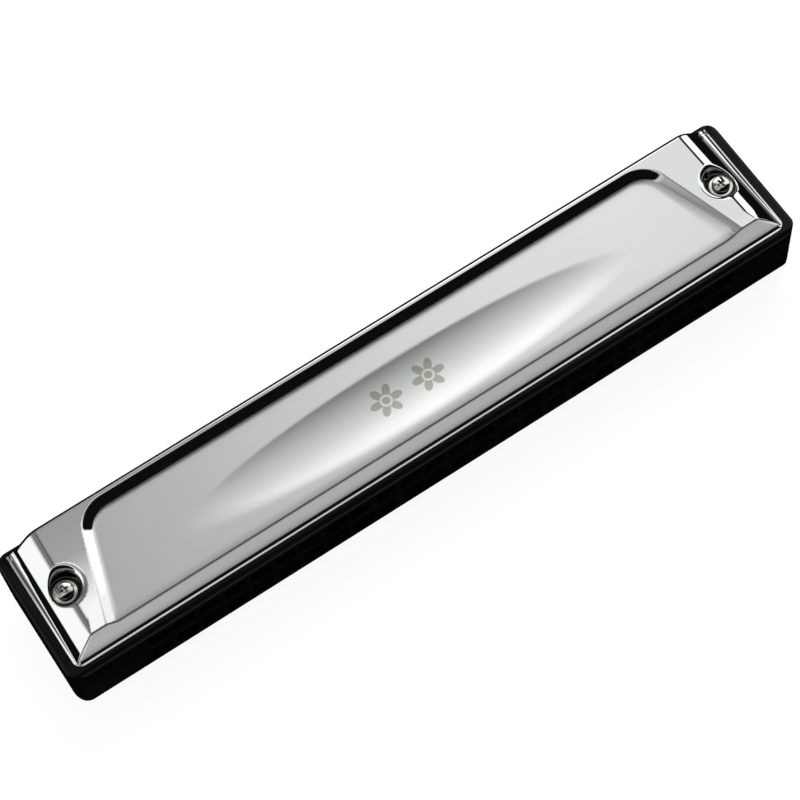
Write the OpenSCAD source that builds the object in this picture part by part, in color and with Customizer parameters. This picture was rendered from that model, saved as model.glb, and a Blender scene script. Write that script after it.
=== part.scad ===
// Tremolo harmonica: a moulded comb with two rows of mouth holes, a reed plate let into
// each face, one sprung brass reed over every slot, and a pressed cover over each plate.
// +X runs to the high notes, -Y is the mouth side, +Z is up.
// The origin is on the resting plane, under the middle of the body.

/* [Comb] */
// Distance from one mouth hole to the next
hole_pitch = 6.25; // [6:0.05:6.6]
// Width of a mouth hole
hole_w = 4.85; // [4.5:0.05:5]
// Height of a mouth hole
hole_h = 4.6; // [4.2:0.1:4.9]
// Wall between the upper and the lower row of holes
mid_wall = 2; // [1.6:0.1:2.4]
// Height of the comb between the two covers
comb_h = 15.6; // [15.2:0.1:17]
// Depth of the comb from the mouth side to the back
comb_d = 33; // [32.6:0.1:35]
// Length of solid comb past each end of the cover
comb_end = 2.65; // [1.5:0.05:4]
// Plan radius of the comb's corners
comb_corner_r = 3.8; // [2:0.1:5]
// Radius that the mouth can feel along the comb's edges
comb_edge_r = 1.1; // [0.5:0.1:1.5]
// Thickness of the wall in front of the chambers
mouth_wall = 3.3; // [3:0.1:3.6]

/* [Reed plates] */
// Thickness of a reed plate
plate_t = 0.9; // [0.7:0.05:1.1]
// Distance of the plate from the mouth face
plate_front = 2.6; // [2.5:0.1:2.8]
// Distance of the plate from the back face
plate_back = 3.4; // [3:0.1:3.6]
// Length of the plate past the first and the last hole
plate_end = 4.2; // [3.8:0.1:4.5]
// Radius of the plate's corners
plate_corner_r = 1.2; // [0.5:0.1:2]
// Gap between the plate and its recess
plate_gap = 0.1; // [0.05:0.01:0.2]

/* [Reeds] */
// Strip of plate in front of the lowest note's slot
slot_front = 4.05; // [3.8:0.05:4.8]
// Strip of plate behind the lowest note's slot
slot_back = 4.45; // [4:0.05:5.2]
// Length of the highest note's slot
high_slot_l = 8.5; // [7.5:0.1:10]
// Width of the lowest note's reed
low_reed_w = 2.6; // [2.3:0.05:2.8]
// Width of the highest note's reed
high_reed_w = 2.1; // [1.9:0.05:2.4]
// Clearance along each edge of a reed in its slot
slot_gap = 0.15; // [0.12:0.01:0.2]
// Clearance at the free tip of a reed
tip_gap = 0.2; // [0.15:0.01:0.3]
// Thickness of a reed's blade
blade_t = 0.25; // [0.2:0.01:0.3]
// Thickness of a reed's pad
pad_t = 0.55; // [0.45:0.01:0.65]
// Width of a reed's pad
pad_w = 3.4; // [3.2:0.05:3.6]
// Length of a reed's pad
pad_l = 2.8; // [2.4:0.05:3]
// Strip of plate between a pad and its slot
pad_land = 0.3; // [0.25:0.01:0.4]
// Gap under and over a pad, in which the reed rocks
rock_gap = 0.1; // [0.09:0.005:0.13]
// Extra lift of the blade over the plate
blade_lift = 0.07; // [0.06:0.005:0.1]

/* [Rivets and nails] */
// Radius of a rivet's shank
rivet_r = 0.5; // [0.4:0.02:0.55]
// Clearance between a rivet and the pad that rocks on it
rivet_gap = 0.06; // [0.05:0.005:0.08]
// Clearance of a shank in a plate or in the comb
fit_gap = 0.02; // [0.01:0.005:0.04]
// Radius of a rivet's head
rivet_head_r = 0.85; // [0.75:0.01:1]
// Height of a rivet's head
rivet_head_h = 0.35; // [0.25:0.01:0.45]
// Height of the closed end of a rivet
rivet_tail_h = 0.25; // [0.15:0.01:0.35]
// Radius of a plate nail's shank
nail_r = 0.4; // [0.3:0.02:0.45]
// Radius of a plate nail's head
nail_head_r = 0.9; // [0.8:0.01:1]
// Height of a plate nail's head
nail_head_h = 0.35; // [0.25:0.01:0.45]
// Length of a plate nail's shank
nail_l = 3.4; // [2.5:0.1:4.5]
// Distance of the nails from the front and the back of the plate
nail_edge = 1.5; // [1.2:0.05:1.8]
// Distance of the end nails from the plate's ends
nail_end = 2; // [1.5:0.1:2.2]

/* [Covers] */
// Height of a cover over the comb's face
cover_h = 5.6; // [5.4:0.1:7]
// Thickness of the cover's sheet
sheet_t = 0.5; // [0.4:0.05:0.6]
// Distance of the cover's front edge from the mouth face
cover_front = 1.8; // [1.5:0.05:2]
// Distance of the cover's back edge from the comb's back face
cover_back = 1.75; // [1:0.05:3]
// Width of the flat edge along the front
front_flange_w = 0.6; // [0.4:0.05:0.7]
// Width of the flat edge at each end
end_flange_w = 1.3; // [0.8:0.05:2]
// Plan radius of the flat edge's front corners
flange_corner_r = 2; // [1:0.1:3]
// Run of the front slope, from its foot to its crease
front_slope_run = 2; // [1.6:0.05:2.4]
// Run of the slope at each end
end_slope_run = 5.3; // [4.8:0.1:6.5]
// Radius of the crease along the front
front_crease_r = 0.8; // [0.6:0.05:1.2]
// Radius of the crease at each end
end_crease_r = 2.5; // [1:0.1:4]
// Height of the lip folded down along the back
back_lip_h = 0.9; // [0.7:0.05:1.3]

/* [Sunk panel] */
// Width of the raised strip behind the panel
back_strip_w = 1.3; // [1:0.05:2]
// Width of the raised ear at the back corner
back_ear_w = 10.85; // [9.5:0.05:13]
// How much narrower the ear is at the front crease
ear_taper = 7.8; // [5:0.1:8.5]
// Depth of the panel at the front crease
panel_front_depth = 0.6; // [0.4:0.05:0.8]
// Depth of the panel at the back
panel_back_depth = 1.6; // [1.2:0.05:1.8]
// Width of the bevel along the back of the panel
back_bevel_w = 2.05; // [1.6:0.05:2.6]
// Width of the bevel at each end of the panel
side_bevel_w = 2.6; // [2:0.05:3]
// Radius of the panel's back corners at the top of the bevel
panel_corner_r = 7.6; // [5:0.1:9]

/* [Dish in the panel] */
// Half of the dish's length
dish_half_l = 52.2; // [35:0.2:58]
// Half of the dish's width
dish_half_w = 7.5; // [6:0.1:8]
// Depth of the dish below the panel
dish_depth = 1.2; // [0.8:0.05:1.3]
// Distance of the dish's long axis from the front crease
dish_from_crease = 10.75; // [9.5:0.05:11.5]

/* [Cover screws] */
// Distance of a screw from the end of the reed plate
screw_from_plate = 4; // [3.9:0.05:4.6]
// Distance of the screws behind the middle of the comb
screw_y = 0.4; // [-1:0.1:1.5]
// Radius of a dimple's floor
dimple_r = 3.2; // [3.1:0.05:3.4]
// How much wider the dimple is at the top of the cover
dimple_flare = 1.15; // [0.8:0.05:1.4]
// Height of the boss that carries a dimple
boss_h = 1.7; // [1.5:0.05:1.8]
// Radius of the boss
boss_r = 3; // [2.4:0.05:3]
// Radius of the screw's shank
screw_r = 1.2; // [1:0.05:1.3]
// Clearance round the screw in the cover and the washer
screw_gap = 0.12; // [0.1:0.01:0.2]
// Radius of the screw's head
screw_head_r = 2; // [1.8:0.05:2.3]
// Height of the screw's head
screw_head_h = 1.3; // [1.2:0.05:1.5]
// Length of the screw under its head
screw_l = 8.5; // [6:0.1:8.8]
// Length of one arm of the cross in the head
cross_l = 2.4; // [2:0.1:2.8]
// Width of an arm of the cross
cross_w = 0.5; // [0.4:0.05:0.6]
// Depth of the cross
cross_depth = 0.7; // [0.5:0.05:0.9]
// Outer radius of the washer
washer_r = 2.95; // [2.6:0.05:3]
// Thickness of the washer
washer_t = 0.45; // [0.3:0.05:0.6]

/* [Hidden] */
$fn = 48;
columns = 24;
small = 0.01;
past = 5;
arc_steps = 8;
dish_steps = 12;

// Heights over the middle of the body
comb_top = comb_h / 2;
plate_under = comb_top - plate_t;
body_mid = comb_top + cover_h;
hole_low = mid_wall / 2;

// Places along X, worked out from the row of holes to the ends
row_half = columns * hole_pitch / 2;
plate_half = row_half + plate_end;
screw_x = plate_half + screw_from_plate;
crease_from_screw = 0.2;
crease_x = screw_x - crease_from_screw;
end_foot_x = crease_x + end_slope_run;
flange_x = end_foot_x + end_flange_w;
comb_half = flange_x + comb_end;

// Places along Y, worked out from the mouth face and the back face
mouth_y = -comb_d / 2;
back_y = comb_d / 2;
plate_y0 = mouth_y + plate_front;
plate_y1 = back_y - plate_back;
chamber_y = mouth_y + mouth_wall;
flange_y = mouth_y + cover_front;
front_foot_y = flange_y + front_flange_w;
crease_y = front_foot_y + front_slope_run;
cover_y1 = back_y - cover_back;

// The lowest note's slot fills the plate between its two strips, and all lie round its middle
low_slot_y0 = plate_y0 + slot_front;
low_slot_y1 = plate_y1 - slot_back;
low_slot_l = low_slot_y1 - low_slot_y0;
slot_mid_y = (low_slot_y0 + low_slot_y1) / 2;
chamber_end = 0.9;

// Angles of the cover's slopes
front_angle = atan2(cover_h - sheet_t, front_slope_run);
end_angle = atan2(cover_h - sheet_t, end_slope_run);

// The sunk panel: outline at the top of its bevel, and how it tilts down to the back
panel_top_y = cover_y1 - back_strip_w;
panel_top_half = crease_x - back_ear_w;
panel_run = panel_top_y - crease_y;
panel_spread = ear_taper / panel_run;
panel_floor_y = panel_top_y - back_bevel_w;
panel_tilt = atan2(panel_back_depth - panel_front_depth, panel_floor_y - crease_y);
bevel_round_loss = 1.6;
floor_corner_r = panel_corner_r - bevel_round_loss;
// Share of the sheet's thickness by which the well grows sideways on its inner face
well_growth = 0.35;

// The dish is a slice of a long spindle that turns about a line parallel to X
dish_y = crease_y + dish_from_crease;
spindle_r = (dish_half_w * dish_half_w + dish_depth * dish_depth) / (2 * dish_depth);
spindle_up = spindle_r - dish_depth;
spindle_half = dish_half_l / sqrt(1 - pow(spindle_up / spindle_r, 2));
dish_run_out = 6;
dish_reach = dish_half_l + dish_run_out;
dish_floor = cover_h - panel_front_depth - dish_from_crease * tan(panel_tilt);

// Screw seat, from the boss upwards
seat_z = boss_h + sheet_t;
head_z = seat_z + washer_t;

// Plate nails stand between two columns, and at both ends of the plate
nail_gaps = [-6, 0, 6];
nail_ys = [plate_y0 + nail_edge, plate_y1 - nail_edge];
nail_xs = concat([for (g = nail_gaps) g * hole_pitch], [nail_end - plate_half, plate_half - nail_end]);

sides = ["upper", "lower"];

// Name of the reed of one column
function reed_name(side, i) = str(side, "_reed_", i < 9 ? "0" : "", i + 1);
// Middle of a column
function column_x(i) = (i - (columns - 1) / 2) * hole_pitch;
// Share of the way from the lowest to the highest note
function climb(i) = i / (columns - 1);
function slot_l(i) = low_slot_l + (high_slot_l - low_slot_l) * climb(i);
function reed_w(i) = low_reed_w + (high_reed_w - low_reed_w) * climb(i);
// Blown notes have their reed in the chamber, drawn notes have it under the cover
function is_blown(i) = i % 2 == 0;
// Distance of a rivet from the middle of its slot
function rivet_reach(i) = slot_l(i) / 2 + pad_land + pad_l / 2;
function rivet_y(i) = slot_mid_y + (is_blown(i) ? 1 : -1) * rivet_reach(i);
function chamber_back(i) = slot_mid_y + rivet_reach(i) + pad_l / 2 + chamber_end;

function unit(v) = v / norm(v);
// Points of a round corner at q, on the way from p to s
function corner(p, q, s, r) =
    let (u = unit(p - q), v = unit(s - q))
    let (half = acos(u * v) / 2)
    let (c = q + unit(u + v) * r / sin(half))
    let (a = q + u * r / tan(half) - c, b = q + v * r / tan(half) - c)
    [for (k = [0 : arc_steps]) c + r * unit(a * (1 - k / arc_steps) + b * k / arc_steps)];

// Both halves of the body are one half, turned over for the lower one
module on_side(side) {
    translate([0, 0, body_mid])
        if (side == "upper") children();
        else mirror([0, 0, 1]) children();
}

// Rectangle with round corners, made of squares and true circles
module round_plate(x, y0, y1, r_front, r_back) {
    difference() {
        translate([-x, y0]) square([2 * x, y1 - y0]);
        for (s = [0, 1]) mirror([s, 0]) {
            translate([-x, y0]) corner_waste(r_front);
            translate([-x, y1]) mirror([0, 1]) corner_waste(r_back);
        }
    }
}

// What a round corner takes off a square one that lies towards +X and +Y
module corner_waste(r) {
    if (r > 0) difference() {
        translate([-small, -small]) square(r + small);
        translate([r, r]) circle(r);
    }
}

module comb() {
    color([0.04, 0.04, 0.045])
        translate([0, 0, body_mid])
            difference() {
                comb_body();
                for (i = [0 : columns - 1]) for (s = [0, 1]) mirror([0, 0, s]) chamber(i);
                for (s = [0, 1]) mirror([0, 0, s]) plate_recess();
                for (s = [-1, 1]) translate([s * screw_x, screw_y, 0])
                    cylinder(h = comb_h + 2 * past, r = screw_r + fit_gap, center = true);
            }
}

// Outer form of the comb, with a boss for each screw
module comb_body() {
    intersection() {
        linear_extrude(comb_h, center = true)
            round_plate(comb_half, mouth_y, back_y, comb_corner_r, comb_corner_r);
        rotate([90, 0, 90]) linear_extrude(2 * comb_half + past, center = true)
            comb_section(comb_d / 2);
        rotate([90, 0, 0]) linear_extrude(comb_d + past, center = true)
            comb_section(comb_half);
    }
    for (s = [-1, 1]) translate([s * screw_x, screw_y, 0])
        cylinder(h = comb_h + 2 * boss_h, r = boss_r, center = true);
}

// Section of the comb, with its edges eased
module comb_section(half) {
    round_plate(half, -comb_top, comb_top, comb_edge_r, comb_edge_r);
}

// Mouth hole and the chamber behind it
module chamber(i) {
    translate([column_x(i) - hole_w / 2, mouth_y - small, hole_low])
        cube([hole_w, mouth_wall + 2 * small, hole_h]);
    translate([column_x(i) - hole_w / 2, chamber_y, hole_low])
        cube([hole_w, chamber_back(i) - chamber_y, plate_under - hole_low + small]);
}

module plate_recess() {
    translate([0, 0, plate_under]) linear_extrude(plate_t + past)
        round_plate(plate_half + plate_gap, plate_y0 - plate_gap, plate_y1 + plate_gap,
            plate_corner_r, plate_corner_r);
    at_nails() translate([0, 0, comb_top - nail_l - fit_gap])
        cylinder(h = nail_l, r = nail_r + fit_gap);
}

module at_nails() {
    for (x = nail_xs) for (y = nail_ys) translate([x, y, 0]) children();
}

module reed_plate(side) {
    color([0.8, 0.62, 0.3]) on_side(side) difference() {
        translate([0, 0, plate_under]) linear_extrude(plate_t)
            round_plate(plate_half, plate_y0, plate_y1, plate_corner_r, plate_corner_r);
        for (i = [0 : columns - 1]) {
            translate([column_x(i), slot_mid_y, comb_top])
                cube([reed_w(i) + 2 * slot_gap, slot_l(i), 2 * past], center = true);
            translate([column_x(i), rivet_y(i), plate_under - past])
                cylinder(h = plate_t + 2 * past, r = rivet_r + fit_gap);
        }
        at_nails() translate([0, 0, plate_under - past])
            cylinder(h = plate_t + 2 * past, r = nail_r + fit_gap);
    }
}

// Puts a reed or a rivet, drawn on top of a plate with its tip towards +Y, in its column
module on_plate(i) {
    translate([column_x(i), rivet_y(i), comb_top - plate_t / 2])
        rotate([is_blown(i) ? 180 : 0, 0, 0])
            translate([0, 0, plate_t / 2]) children();
}

module reed(side, i) {
    blade_l = pad_l / 2 + pad_land + slot_l(i) - tip_gap;
    color([0.83, 0.68, 0.36]) on_side(side) on_plate(i) difference() {
        union() {
            translate([-pad_w / 2, -pad_l / 2, rock_gap]) cube([pad_w, pad_l, pad_t]);
            translate([-reed_w(i) / 2, 0, rock_gap + blade_lift])
                cube([reed_w(i), blade_l, blade_t]);
        }
        cylinder(h = past, r = rivet_r + rivet_gap, center = true);
    }
}

module rivet() {
    head = 2 * rock_gap + pad_t;
    translate([0, 0, -plate_t - rivet_tail_h])
        cylinder(h = plate_t + rivet_tail_h + head + small, r = rivet_r);
    translate([0, 0, head]) cylinder(h = rivet_head_h, r = rivet_head_r);
    translate([0, 0, -plate_t - rivet_tail_h]) cylinder(h = rivet_tail_h, r = rivet_head_r);
}

module reed_rivets(side) {
    color([0.78, 0.6, 0.28]) on_side(side)
        for (i = [0 : columns - 1]) on_plate(i) rivet();
}

module plate_nails(side) {
    color([0.7, 0.7, 0.68]) on_side(side) at_nails() translate([0, 0, comb_top]) {
        cylinder(h = nail_head_h, r = nail_head_r);
        translate([0, 0, -nail_l]) cylinder(h = nail_l + small, r = nail_r);
    }
}

// Outline of the panel's well, seen from above, grown on every side by grow
module panel_plan(top_y, top_half, r, grow) {
    spread = panel_spread;
    far_y = top_y + grow;
    far_x = top_half + grow * (norm([1, spread]) - spread);
    near_y = mouth_y - past;
    near_x = far_x + (far_y - near_y) * spread;
    polygon(concat(
        [[-near_x, near_y]],
        corner([-near_x, near_y], [-far_x, far_y], [far_x, far_y], r),
        corner([-far_x, far_y], [far_x, far_y], [near_x, near_y], r),
        [[near_x, near_y]]
    ));
}

// The well that sinks the panel; its floor tilts down towards the back
module panel_well(sink) {
    grow = well_growth * sink;
    hull() {
        translate([0, 0, cover_h - sink]) linear_extrude(past)
            panel_plan(panel_top_y, panel_top_half, panel_corner_r, grow);
        translate([0, crease_y, cover_h - sink - panel_front_depth])
            rotate([-panel_tilt, 0, 0]) translate([0, -crease_y, 0]) linear_extrude(small)
                panel_plan(panel_floor_y, panel_top_half + back_bevel_w * panel_spread
                    - side_bevel_w, floor_corner_r, grow);
    }
}

function spindle_at(x) = spindle_r * sqrt(1 - pow(x / spindle_half, 2));

// The long dish pressed into the panel
module dish(sink) {
    outline = [
        for (k = [-dish_steps : dish_steps])
            let (x = dish_reach * k / dish_steps) [spindle_at(x) + sink, x]
    ];
    translate([0, dish_y, dish_floor + spindle_up]) rotate([0, 90, 0])
        rotate_extrude($fn = 96)
            polygon(concat([[0, -dish_reach]], outline, [[0, dish_reach]]));
}

// The round dimple that a screw sits in
module dimples(sink) {
    slant = dimple_flare / (cover_h - seat_z);
    for (s = [-1, 1]) translate([s * screw_x, screw_y, seat_z - sink])
        cylinder(h = cover_h, r1 = dimple_r + sink, r2 = dimple_r + sink + slant * cover_h);
}

// Body of the cover without its pressed forms, sunk by the thickness of the sheet or not
module cover_envelope(sink, low, back) {
    top = cover_h - sink;
    y1 = crease_y + sink * tan(front_angle / 2);
    y0 = y1 - (top - low) / tan(front_angle);
    x1 = crease_x - sink * tan(end_angle / 2);
    x0 = x1 + (top - low) / tan(end_angle);
    intersection() {
        rotate([90, 0, 90]) linear_extrude(2 * x0 + past, center = true)
            polygon(concat(
                [[y0, low]],
                corner([y0, low], [y1, top], [back, top], front_crease_r - sink),
                [[back, top], [back, low]]
            ));
        translate([0, back, 0]) rotate([90, 0, 0]) linear_extrude(back - y0 + past)
            polygon(concat(
                [[-x0, low]],
                corner([-x0, low], [-x1, top], [x1, top], end_crease_r - sink),
                corner([-x1, top], [x1, top], [x0, low], end_crease_r - sink),
                [[x0, low]]
            ));
    }
}

// Solid form of the cover over the comb's face, with every pressed form
module cover_form(sink, low, back) {
    difference() {
        cover_envelope(sink, low, back);
        panel_well(sink);
        dish(sink);
        dimples(sink);
    }
}

module cover(side) {
    color([0.85, 0.86, 0.87]) on_side(side) translate([0, 0, comb_top]) difference() {
        union() {
            cover_form(0, 0, cover_y1);
            linear_extrude(sheet_t)
                round_plate(flange_x, flange_y, cover_y1, flange_corner_r, 0);
        }
        cover_form(sheet_t, -past, cover_y1 - sheet_t);
        intersection() {
            cover_form(sheet_t, -past, cover_y1 + past);
            translate([-comb_half, -comb_d, -past])
                cube([2 * comb_half, 2 * comb_d, past + cover_h - back_lip_h]);
        }
        for (s = [-1, 1]) translate([s * screw_x, screw_y, 0])
            cylinder(h = 2 * cover_h, r = screw_r + screw_gap, center = true);
    }
}

// Puts a piece drawn on the seat at every one of the four screws
module at_screws() {
    for (side = sides) on_side(side) for (s = [-1, 1])
        translate([s * screw_x, screw_y, comb_top]) children();
}

module cover_screws() {
    color([0.75, 0.75, 0.74]) at_screws() {
        translate([0, 0, head_z]) difference() {
            cylinder(h = screw_head_h, r = screw_head_r);
            for (turn = [0, 90]) rotate([0, 0, turn])
                translate([0, 0, screw_head_h])
                    cube([cross_l, cross_w, 2 * cross_depth], center = true);
        }
        translate([0, 0, head_z - screw_l]) cylinder(h = screw_l + small, r = screw_r);
    }
}

module cover_washers() {
    color([0.8, 0.8, 0.8]) at_screws() translate([0, 0, seat_z]) difference() {
        cylinder(h = washer_t, r = washer_r);
        translate([0, 0, -past]) cylinder(h = 2 * past, r = screw_r + screw_gap);
    }
}

comb();
reed_plate("upper");  // upper_reed_plate
reed_plate("lower");  // lower_reed_plate
cover("upper");  // upper_cover
cover("lower");  // lower_cover
cover_screws();
cover_washers();
reed_rivets("upper");  // upper_reed_rivets
reed_rivets("lower");  // lower_reed_rivets
plate_nails("upper");  // upper_plate_nails
plate_nails("lower");  // lower_plate_nails
for (side = sides) for (i = [0 : columns - 1])
    reed(side, i);
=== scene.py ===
import math

import bpy
import numpy as np
from mathutils import Euler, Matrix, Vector


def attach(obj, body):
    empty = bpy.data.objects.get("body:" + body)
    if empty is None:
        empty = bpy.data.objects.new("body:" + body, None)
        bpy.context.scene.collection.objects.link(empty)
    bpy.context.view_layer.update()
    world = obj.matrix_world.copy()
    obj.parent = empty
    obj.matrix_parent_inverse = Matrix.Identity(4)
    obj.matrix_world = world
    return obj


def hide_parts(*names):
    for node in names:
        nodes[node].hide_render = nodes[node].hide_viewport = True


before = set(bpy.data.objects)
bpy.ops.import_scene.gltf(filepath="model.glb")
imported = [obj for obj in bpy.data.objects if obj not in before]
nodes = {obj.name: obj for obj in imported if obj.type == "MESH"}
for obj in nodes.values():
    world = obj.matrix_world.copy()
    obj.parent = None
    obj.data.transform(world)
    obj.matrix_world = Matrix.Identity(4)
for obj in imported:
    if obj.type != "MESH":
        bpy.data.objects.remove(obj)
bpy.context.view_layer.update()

MM = 0.001

# Height of the body's middle over the resting plane, and half the comb's height, in millimetres
BODY_MID = 13.4
COMB_HALF_H = 7.8

# The cover's sheet, in millimetres, with heights over the comb's face
TOP = 5.6
SHEET = 0.5
FLANGE_X = 89.6
FLANGE_Y = -14.88
FLANGE_CORNER_R = 2.0
FLANGE_RIM = 0.4
FLANGE_W = 4.0
FLANGE_RISE = math.tan(math.radians(9.5))
FLANGE_EDGE_R = 0.12
BACK_Y = 15.0
FOLD_R = 0.5
FOLD_ANGLE = math.radians(41)
BACK_LIP = 0.85
FOOT_X = 88.62
FOOT_SKEW = 0.028
FOOT_Y = -13.9
FACET_Y = -14.36
FACET_W = 0.6
FACET_ANGLE = math.radians(32)
CREASE_X = 83.35
CREASE_SKEW = 0.035
CREASE_Y = -11.85
FRONT_UPPER_ANGLE = math.radians(63)
FRONT_LOWER_ANGLE = math.radians(72)
FRONT_SOFTNESS = 0.25
END_SOFTNESS = 1.08
HIP_SOFTNESS = 0.25
SLOPE_SOFTNESS = 0.5
FOOT_SOFTNESS = 0.13
FACET_SOFTNESS = 0.14
END_UPPER_ANGLE = math.radians(40)
END_LOWER_ANGLE = math.radians(53)

# The sunk panel and its bevel
PANEL_BACK_Y = 13.45
PANEL_HALF = 72.15
PANEL_SPREAD = 0.3053
PANEL_CORNER_R = 7.6
PANEL_FRONT_DEPTH = 0.6
PANEL_TILT = math.radians(2.44)
BACK_BEVEL_W = 2.25
LEFT_BEVEL_W = 2.1
RIGHT_BEVEL_W = 2.6
BEVEL_EDGE_SOFTNESS = 0.12
BACK_FOOT_SOFTNESS = 0.6
LEFT_FOOT_SOFTNESS = 0.25
RIGHT_FOOT_SOFTNESS = 0.62
PANEL_ROLL_W = 1.75
PANEL_ROLL_R = 9.0

# The long dish in the panel
DISH_Y = -0.95
DISH_FLOOR = 3.34
DISH_FRONT_SOFTNESS = 0.32
DISH_BACK_SOFTNESS = 0.07
SPINDLE_R = 24.04
SPINDLE_HALF = 167.3

# The screws and their dimples
SCREW_X = 83.2
SCREW_Y = 0.4
SEAT_Z = 2.2
DIMPLE_R = 2.9
DIMPLE_SLANT = 1.15 / 3.4
DIMPLE_FLOOR_SOFTNESS = 0.3
DIMPLE_LOW_RIM = 0.25
DIMPLE_TOP_RIM = 1.2
SCREW_HOLE_R = 1.32


def deselect():
    if bpy.context.object and bpy.context.object.mode != "OBJECT":
        bpy.ops.object.mode_set(mode="OBJECT")
    bpy.ops.object.select_all(action="DESELECT")


def pick(obj):
    deselect()
    obj.select_set(True)
    bpy.context.view_layer.objects.active = obj


def pick_faces(obj, wanted):
    """Leave edit mode on, with only the wanted faces selected."""
    pick(obj)
    bpy.ops.object.mode_set(mode="EDIT")
    bpy.ops.mesh.select_mode(type="FACE")
    bpy.ops.mesh.select_all(action="DESELECT")
    bpy.ops.object.mode_set(mode="OBJECT")
    for face in obj.data.polygons:
        face.select = wanted(face)
    bpy.ops.object.mode_set(mode="EDIT")


def vertex_table(mesh):
    table = np.empty(len(mesh.vertices) * 3)
    mesh.vertices.foreach_get("co", table)
    return table.reshape(-1, 3)


def set_vertices(mesh, table):
    mesh.vertices.foreach_set("co", np.asarray(table, float).ravel())
    mesh.update()


# The form of the pressed sheet

def soft_max(a, b, k):
    near = np.maximum(k - np.abs(a - b), 0.0)
    return np.maximum(a, b) + near * near / (4.0 * k)


def soft_min(a, b, k):
    return -soft_max(-a, -b, k)


def ramp(x, low, high):
    t = np.clip((x - low) / (high - low), 0.0, 1.0)
    return t * t * (3.0 - 2.0 * t)


def inside_panel(x, y):
    """Distance inside the outer line of the bevel, and how far the bevel has turned from back to side."""
    u = np.abs(x)
    cos_b = 1.0 / math.hypot(1.0, PANEL_SPREAD)
    sin_b = PANEL_SPREAD * cos_b
    from_back = PANEL_BACK_Y - y
    from_side = (PANEL_HALF + PANEL_SPREAD * from_back - u) * cos_b
    r = PANEL_CORNER_R
    mid_y = PANEL_BACK_Y - r
    mid_x = PANEL_HALF + PANEL_SPREAD * r - r / cos_b
    dx, dy = u - mid_x, y - mid_y
    along_side = -dx * sin_b + dy * cos_b
    rounded = (dx > 0) & (along_side > 0)
    distance = np.where(rounded, r - np.hypot(dx, dy), np.minimum(from_back, from_side))
    turn = np.clip(np.arctan2(dx, np.maximum(dy, 1e-6)) / (math.pi / 2 - math.atan(PANEL_SPREAD)), 0, 1)
    return distance, np.where(rounded, turn, np.where(from_side < from_back, 1.0, 0.0))


def bevel_shape(x, turned):
    """Width of the bevel and softness of its foot, which is crisper on the left side."""
    width = np.where(x < 0, LEFT_BEVEL_W, RIGHT_BEVEL_W)
    softness = np.where(x < 0, LEFT_FOOT_SOFTNESS, RIGHT_FOOT_SOFTNESS)
    width = BACK_BEVEL_W + (width - BACK_BEVEL_W) * turned
    return width, BACK_FOOT_SOFTNESS + (softness - BACK_FOOT_SOFTNESS) * turned


def plateau(x, y):
    """Height of the top with its sunk panel and its dish."""
    distance, turned = inside_panel(x, y)
    width, at_foot = bevel_shape(x, turned)
    depth = PANEL_FRONT_DEPTH + (y - CREASE_Y) * math.tan(PANEL_TILT)
    bevel = TOP - distance * depth / width
    z = soft_max(TOP - depth, soft_min(np.full_like(bevel, TOP), bevel, BEVEL_EDGE_SOFTNESS), at_foot)
    radius = SPINDLE_R * np.sqrt(1.0 - (x / SPINDLE_HALF) ** 2)
    dish = DISH_FLOOR + SPINDLE_R - np.sqrt(np.maximum(radius ** 2 - (y - DISH_Y) ** 2, 1.0))
    at_back = ramp(y - DISH_Y, -3.0, 4.0)
    softness = DISH_FRONT_SOFTNESS + (DISH_BACK_SOFTNESS - DISH_FRONT_SOFTNESS) * at_back
    roll = np.maximum(CREASE_Y + PANEL_ROLL_W - y, 0.0) ** 2 / (2.0 * PANEL_ROLL_R)
    return soft_min(z, dish, softness) - roll * ramp(distance - width, -1.5, 0.5)


def inside_flange(x, y):
    """Distance inside the flange's outer line, which is rounded at its front corners."""
    across = FLANGE_X - np.abs(x)
    along = y - FLANGE_Y
    r = FLANGE_CORNER_R
    at_corner = (across < r) & (along < r)
    return np.where(at_corner, r - np.hypot(r - across, r - along), np.minimum(across, along))


def end_slope(u, y, z):
    """Distance outside the end's slope, which grows steeper towards its foot."""
    upper_x = CREASE_X - CREASE_SKEW * y + (TOP - z) / math.tan(END_UPPER_ANGLE)
    lower_x = FOOT_X - FOOT_SKEW * y - (z - SHEET) / math.tan(END_LOWER_ANGLE)
    upper = (u - upper_x) * math.sin(END_UPPER_ANGLE)
    lower = (u - lower_x) * math.sin(END_LOWER_ANGLE)
    return soft_max(upper, lower, SLOPE_SOFTNESS)


def front_slope(y, z):
    """Distance outside the front's slope, which grows steeper towards its foot too."""
    upper_y = CREASE_Y - (TOP - z) / math.tan(FRONT_UPPER_ANGLE)
    lower_y = FOOT_Y + (z - SHEET) / math.tan(FRONT_LOWER_ANGLE)
    upper = (upper_y - y) * math.sin(FRONT_UPPER_ANGLE)
    lower = (lower_y - y) * math.sin(FRONT_LOWER_ANGLE)
    return soft_max(upper, lower, SLOPE_SOFTNESS)


def foot_facet(u, y, z):
    """Distance over the narrow facet that eases the foot of the front's slope into the flange."""
    run = np.minimum(np.minimum(y - FACET_Y, FOOT_X - u), FACET_W)
    return (z - SHEET) * math.cos(FACET_ANGLE) - run * math.sin(FACET_ANGLE)


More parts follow.
